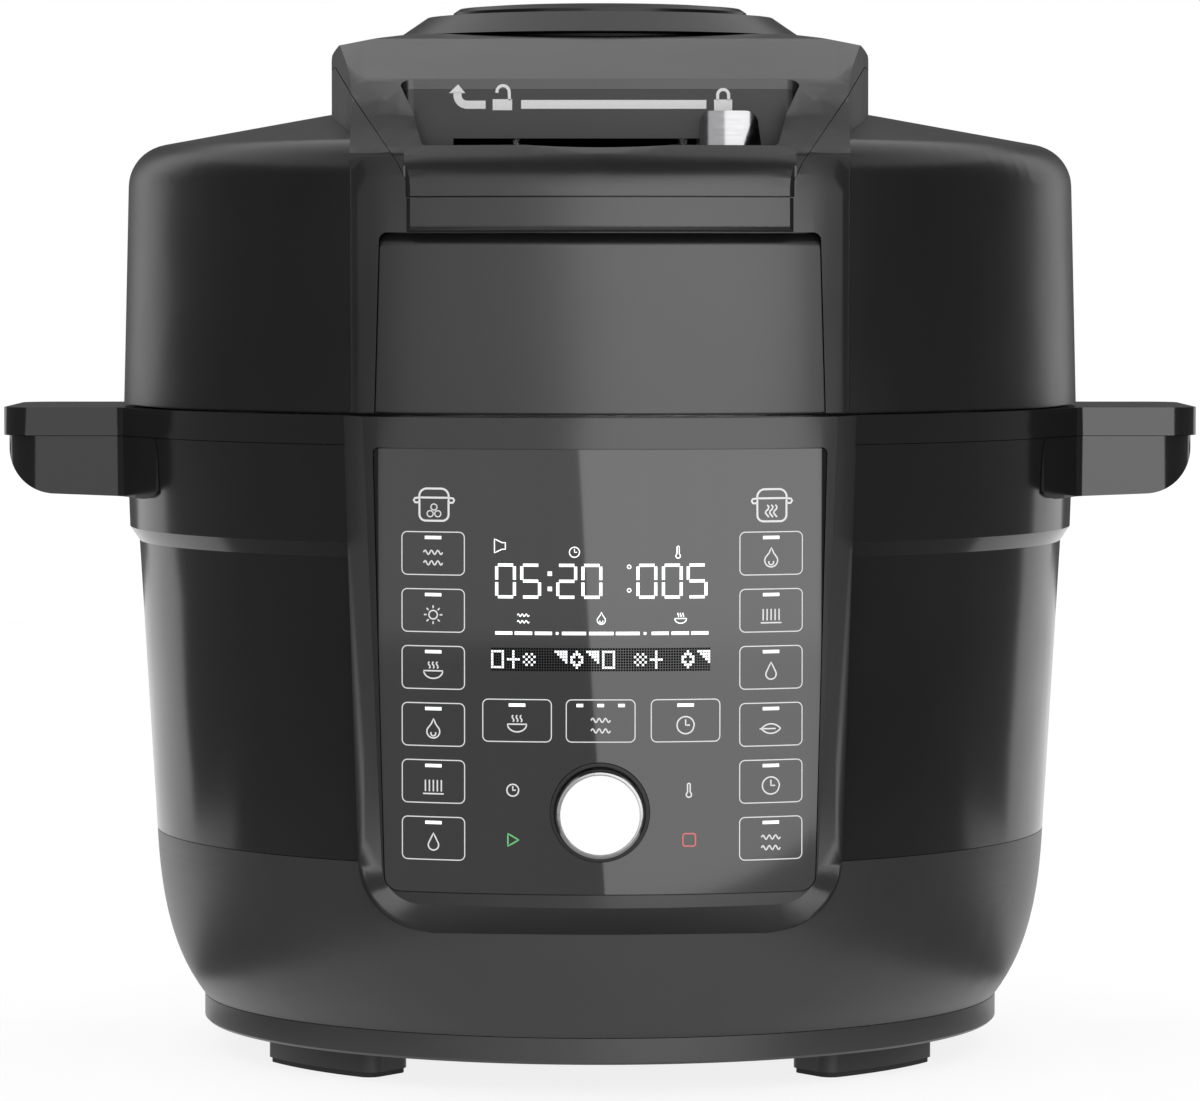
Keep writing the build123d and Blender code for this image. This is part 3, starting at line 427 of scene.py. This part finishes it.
def pot(sheet, cx, cz, line):
    """A cooking pot seen from the side, 12.8 mm over its handles."""
    half, rim, foot, corner, dome = 4.45, cz + 2.1, cz - 4.9, 1.9, 2.75
    sheet.stroke(
        [(cx - half, rim)]
        + arc(cx - half + corner, foot + corner, corner, 180, 270, 6)
        + arc(cx + half - corner, foot + corner, corner, 270, 360, 6)
        + [(cx + half, rim)],
        line,
        closed=True,
    )
    sheet.stroke(
        [(cx - half, rim)]
        + arc(cx - 2.2, rim + dome - 2.3, 2.3, 172, 90, 6)
        + arc(cx + 2.2, rim + dome - 2.3, 2.3, 90, 8, 6)
        + [(cx + half, rim)],
        line,
    )
    for side in (-1, 1):
        sheet.stroke(
            [
                (cx + side * half, rim),
                (cx + side * (half + 1.4), rim - 0.2),
                (cx + side * (half + 1.75), rim - 0.8),
                (cx + side * (half + 1.3), rim - 1.5),
                (cx + side * half, rim - 1.5),
            ],
            line,
        )


def seven_segment(sheet, x0, x1, z0, z1, lit_parts, line):
    """A seven-segment digit; parts are named a to g clockwise from the top, g the middle."""
    inset, mid = line * 0.5, (z0 + z1) / 2
    left, right, low, high = x0 + inset, x1 - inset, z0 + inset, z1 - inset
    cut = line * 0.42
    ends = {
        "a": ((left + cut, high), (right - cut, high)),
        "b": ((right, high - cut), (right, mid + cut)),
        "c": ((right, mid - cut), (right, low + cut)),
        "d": ((left + cut, low), (right - cut, low)),
        "e": ((left, mid - cut), (left, low + cut)),
        "f": ((left, high - cut), (left, mid + cut)),
        "g": ((left + cut, mid), (right - cut, mid)),
    }
    for part in lit_parts:
        sheet.stroke(ends[part], line)


# ---------------------------------------------------------------- front glass: key outlines
key_half_w, key_half_h = 9.55, 6.5
key_rows = [168.2 - 17.33 * row for row in range(6)]
key_columns = (-50.6, 51.9)
middle_keys, middle_z = (-25.1, 0.2, 25.9), 117.85
middle_half_w, middle_half_h = 10.4, 6.4
thin_line, key_line, picture_size = 0.42, 0.31, 2.9
lamp_half, short_lamp_half, lamp_h, lamp_drop = 2.5, 1.0, 0.95, 1.7
corner_r = 1.6

outlines = Print("key_outlines", on_glass)
lamps = Print("key_lamps", on_glass)
pictures = (waves, sun, bowl, flame, grate, drop, leaf, clock)
for column, x in enumerate(key_columns):
    for row, z in enumerate(key_rows):
        outlines.stroke(
            rounded(x - key_half_w, z - key_half_h, x + key_half_w, z + key_half_h, corner_r),
            key_line,
            closed=True,
        )
        lamps.bar(x - lamp_half, x + lamp_half, z + key_half_h - lamp_drop, lamp_h)
        picture = pictures[(row + 3 * column) % len(pictures)]
        picture(outlines, x, z - 1.3, picture_size, thin_line)
for number, x in enumerate(middle_keys):
    low, high = middle_z - middle_half_h, middle_z + middle_half_h
    outlines.stroke(
        rounded(x - middle_half_w, low, x + middle_half_w, high, corner_r), key_line, closed=True
    )
    lamp_shifts = (-6.3, 0, 6.3) if number == 1 else (0,)
    half = short_lamp_half if number == 1 else lamp_half
    for shift in lamp_shifts:
        lamps.bar(x + shift - half, x + shift + half, middle_z + 4.7, lamp_h)
    (bowl, waves, clock)[number](outlines, x, middle_z - 1.4, picture_size, thin_line)

# Two cooking pots above the key columns: one with a fan, one with steam
pot_z = 183.0
pot(outlines, -50.3, pot_z, 0.6)
pot(outlines, 52.1, pot_z - 0.2, 0.6)
for i in range(3):
    turn = math.radians(90 + 120 * i)
    outlines.stroke(
        arc(-50.3 + 1.35 * math.cos(turn), 180.9 + 1.35 * math.sin(turn), 0.95, 0, 330, 10),
        0.34,
        closed=True,
    )
for i in (-1, 0, 1):
    outlines.stroke(
        [(51.9 + 1.25 * i + 0.55 * math.sin(k * 1.25), 182.9 - 0.62 * k) for k in range(7)],
        0.5,
    )

# ---------------------------------------------------------------- front glass: display
display = Print("display_segments", on_glass)
digit_z0, digit_z1, digit_w, digit_line = 154.85, 165.4, 6.3, 0.92
small_sign, small_line = 1.8, 0.28
ZERO, TWO, FIVE = "abcdef", "abged", "afgcd"
time_digits = ((-31.7, ZERO), (-24.1, FIVE), (-13.2, TWO), (-5.6, ZERO))
heat_digits = ((11.0, ZERO), (18.7, ZERO), (26.2, FIVE))
for left, parts in time_digits + heat_digits:
    seven_segment(display, left, left + digit_w, digit_z0, digit_z1, parts, digit_line)
for z in (157.8, 162.4):
    display.bar(-15.8, -14.5, z, 1.3)
for z in (164.5, 157.4):
    display.stroke(arc(8.8, z, 0.55, 0, 320, 8), 0.3, closed=True)

bar_z, bar_h = 144.35, 1.0
short_run = ((-31.7, -26.5), (-25.8, -20.5), (-19.7, -14.5))
long_run = ((-11.5, -4.2), (-3.3, 4.1), (4.8, 12.0))
for x0, x1 in short_run + long_run + tuple((-b + 1.1, -a + 1.1) for a, b in short_run):
    display.bar(x0, x1, bar_z, bar_h)
for x in (-12.95, 13.6):
    display.bar(x - 0.4, x + 0.4, bar_z, 0.8)

# Small signs over the readouts and over the progress bar
speaker = [(-31.9, 168.6), (-31.9, 172.8), (-29.6, 171.7)]
speaker += [(-28.6, 171.7), (-28.6, 169.7), (-29.6, 169.7)]
display.stroke(speaker, 0.3, closed=True)
clock(display, -7.7, 168.9, 1.7, small_line)
thermometer(display, 23.6, 168.8, small_sign, small_line)
waves(display, -23.2, 148.8, small_sign, small_line)
flame(display, 0.4, 148.9, small_sign, small_line)
bowl(display, 24.4, 148.6, small_sign, small_line)

# Dot-matrix line: every cell is dark but those of the signs, which stand in groups
SIGNS = (
    lambda c, r: c in (0, 4) or r in (0, 6),
    lambda c, r: abs(c - 2) + abs(r - 3) in (2, 3),
    lambda c, r: c == 2 or r == 3,
    lambda c, r: r >= 6 - c,
    lambda c, r: (c + r) % 2 == 0 and 0 < r < 6,
)
matrix = Print("matrix_cells", on_glass, 0.05)
dots = Print("matrix_dots", on_glass, 0.12)
pitch, cell_half, matrix_x, matrix_z = 0.8, 0.3, -32.6, 133.2
columns, rows, columns_per_sign = 83, 9, 6
gaps_between_groups = (3, 8, 11)
for column in range(columns):
    for row in range(rows):
        group, step = divmod(column, columns_per_sign)
        inside = step < 5 and 0 < row < 8 and group not in gaps_between_groups
        on = inside and SIGNS[(group * 2 + group // 5) % 5](step, row - 1)
        x, z = matrix_x + pitch * column, matrix_z + pitch * row
        (dots if on else matrix).bar(x - cell_half, x + cell_half, z, 2 * cell_half)

# Signs beside the dial: time and heat above, start and stop below
signs = Print("dial_signs", on_glass)
clock(signs, -26.4, 96.7, 2.0, 0.42)
thermometer(signs, 26.9, 96.6, 2.1, 0.42)
start_sign = Print("start_sign", on_glass)
start_sign.stroke([(-27.9, 79.7), (-27.9, 83.5), (-24.6, 81.6)], 0.45, closed=True)
stop_sign = Print("stop_sign", on_glass)
stop_sign.stroke(rounded(25.1, 79.7, 28.9, 83.5, 0.7), 0.45, closed=True)

outlines.build("base", white_ink)
lamps.build("base", lit)
display.build("base", lit)
matrix.build("base", matrix_dark)
dots.build("base", lit)
signs.build("base", white_ink)
start_sign.build("base", green_ink)
stop_sign.build("base", red_ink)

# ---------------------------------------------------------------- lock signs in the recess
lock_signs = Print("lock_signs", on_tray, 0.12, 0.12)
lock_signs.bar(-24.4, 32.9, 305.1, 2.7)
bend = arc(-41.1, 308.0, 3.0, 180, 270, 8)
lock_signs.stroke([(-44.1, 308.7)] + bend + [(-35.4, 305.0)], 2.5)
lock_signs.fill([(-46.7, 308.6), (-41.7, 308.6), (-43.9, 311.3)])
lock_signs.bar(-33.2, -27.2, 305.0, 3.4)
lock_signs.stroke([(-28.0, 306.4)] + arc(-30.0, 309.0, 1.9, 0, 190, 10), 0.95)
lock_signs.bar(35.3, 40.9, 304.9, 3.4)
lock_signs.stroke([(36.4, 306.4)] + arc(38.1, 308.0, 1.7, 180, 0, 10) + [(39.8, 306.4)], 0.95)
lock_signs.build("lid", white_ink)

# ---------------------------------------------------------------- stage, light, camera
floor_size = 12.0
bpy.ops.mesh.primitive_plane_add(size=floor_size, location=(0, 0, -0.0002))
floor = bpy.context.object
floor.name = "floor"
floor_mat, nodes, links, floor_surface = shader("floor", (0.16,) * 3, 0.7, specular=0.1)
sweep = tint(nodes, links, noise(nodes, links, 3.0), (0.15,) * 3, (0.17,) * 3)
links.new(sweep, floor_surface.inputs["Base Color"])
floor_surface.inputs["Emission Color"].default_value = (1, 1, 1, 1)
floor_surface.inputs["Emission Strength"].default_value = 0.84
floor.data.materials.append(floor_mat)

world = bpy.data.worlds.new("studio")
bpy.context.scene.world = world
world.use_nodes = True
world.node_tree.nodes["Background"].inputs["Color"].default_value = (1, 1, 1, 1)
world.node_tree.nodes["Background"].inputs["Strength"].default_value = 1.0


def aimed(at, look):
    """The rotation that points a light or camera from one place at another."""
    return (Vector(look) - Vector(at)).to_track_quat("-Z", "Y").to_euler()


def softbox(name, width, height, power, at, rotation):
    """A large rectangular light."""
    light = bpy.data.lights.new(name, "AREA")
    light.shape = "RECTANGLE"
    light.size, light.size_y = width, height
    light.energy = power
    holder = bpy.data.objects.new(name, light)
    bpy.context.scene.collection.objects.link(holder)
    holder.location = at
    holder.rotation_euler = rotation
    return holder


def make_card(card, shade, glow=0.0):
    """Give a card its cloth and let it show in reflections only."""
    mat, nodes, links, surface = shader(card.name, (shade,) * 3, 0.9, specular=0.0)
    cloth = noise(nodes, links, 4.0)
    tone = tint(nodes, links, cloth, (shade * 0.95,) * 3, (shade * 1.05,) * 3)
    links.new(tone, surface.inputs["Base Color"])
    surface.inputs["Emission Color"].default_value = (1, 1, 1, 1)
    surface.inputs["Emission Strength"].default_value = glow
    card.data.materials.append(mat)
    card.visible_camera = card.visible_diffuse = card.visible_shadow = False


def light_card(name, turn_from, turn_to, radius, low, high, shade, glow=0.0):
    """An upright curved card; turns are degrees from the front, a glow above 0 lights it."""
    points, faces = [], []
    count = 16
    for i in range(count + 1):
        turn = math.radians(turn_from + (turn_to - turn_from) * i / count)
        for r in (radius, radius + 0.02):
            for z in (low, high):
                points.append((r * math.sin(turn), -r * math.cos(turn), z))
    for i in range(count):
        a, b = 4 * i, 4 * (i + 1)
        faces += [(a, b, b + 1, a + 1), (a + 2, a + 3, b + 3, b + 2)]
        faces += [(a + 1, b + 1, b + 3, a + 3), (a, a + 2, b + 2, b)]
    end = 4 * count
    faces += [(0, 1, 3, 2), (end, end + 2, end + 3, end + 1)]
    mesh = bpy.data.meshes.new(name)
    mesh.from_pydata(points, [], faces)
    card = bpy.data.objects.new(name, mesh)
    bpy.context.scene.collection.objects.link(card)
    make_card(card, shade, glow)


def flat_card(name, low, high, shade):
    """A flat card between two corners."""
    bpy.ops.mesh.primitive_cube_add(size=1, location=[(a + b) / 2 for a, b in zip(low, high)])
    card = bpy.context.object
    card.name = name
    card.scale = [b - a for a, b in zip(low, high)]
    make_card(card, shade)


light_card("right_card", 43.5, 117, 0.62, 0.0, 0.62, 0.19)
light_card("left_card", -117, -43.5, 0.62, 0.0, 0.62, 0.19)
light_card("front_card", -55, 55, 2.35, 0.0, 1.6, 0.5, 1.2)
light_card("back_card", 150, 210, 2.3, 0.0, 1.5, 0.1)
flat_card("overhead_card", (-1.0, -1.8, 1.6), (1.0, 0.1, 1.62), 0.05)
for side in (-1, 1):
    flat_card(
        "floor_card", (side * 0.4 - 0.24, -0.5, 0.0004), (side * 0.4 + 0.24, 0.05, 0.0009), 0.22
    )

# The window light whose slanted edge shows in the glass: from the middle to the right
window_w, window_h, window_y = 0.80, 0.75, -0.713
tilt = math.radians(-19.6)
edge = Vector((-0.020, 0, 0.094))
across = Vector((math.cos(tilt), 0, -math.sin(tilt)))
window_at = edge + across * (window_w / 2) + Vector((0, window_y, 0))
window = softbox("window", window_w, window_h, 4.8, window_at, (math.radians(90), tilt, 0))
window.visible_camera = False
window.visible_diffuse = False
top_at = (0, -0.4, 2.6)
softbox("top_panel", 2.4, 2.0, 14, top_at, aimed(top_at, (0, 0, 0.17)))

camera_data = bpy.data.cameras.new("camera")
camera = bpy.data.objects.new("camera", camera_data)
bpy.context.scene.collection.objects.link(camera)
camera_data.lens = 177.4
camera_data.sensor_width = 36.0
camera.location = (0, -1.945, 0.2564)
camera.rotation_euler = aimed(camera.location, (0, 0, 0.1615))
camera_data.clip_start = 0.05
camera_data.clip_end = 50
bpy.context.scene.camera = camera
bpy.context.scene.view_settings.view_transform = "Standard"
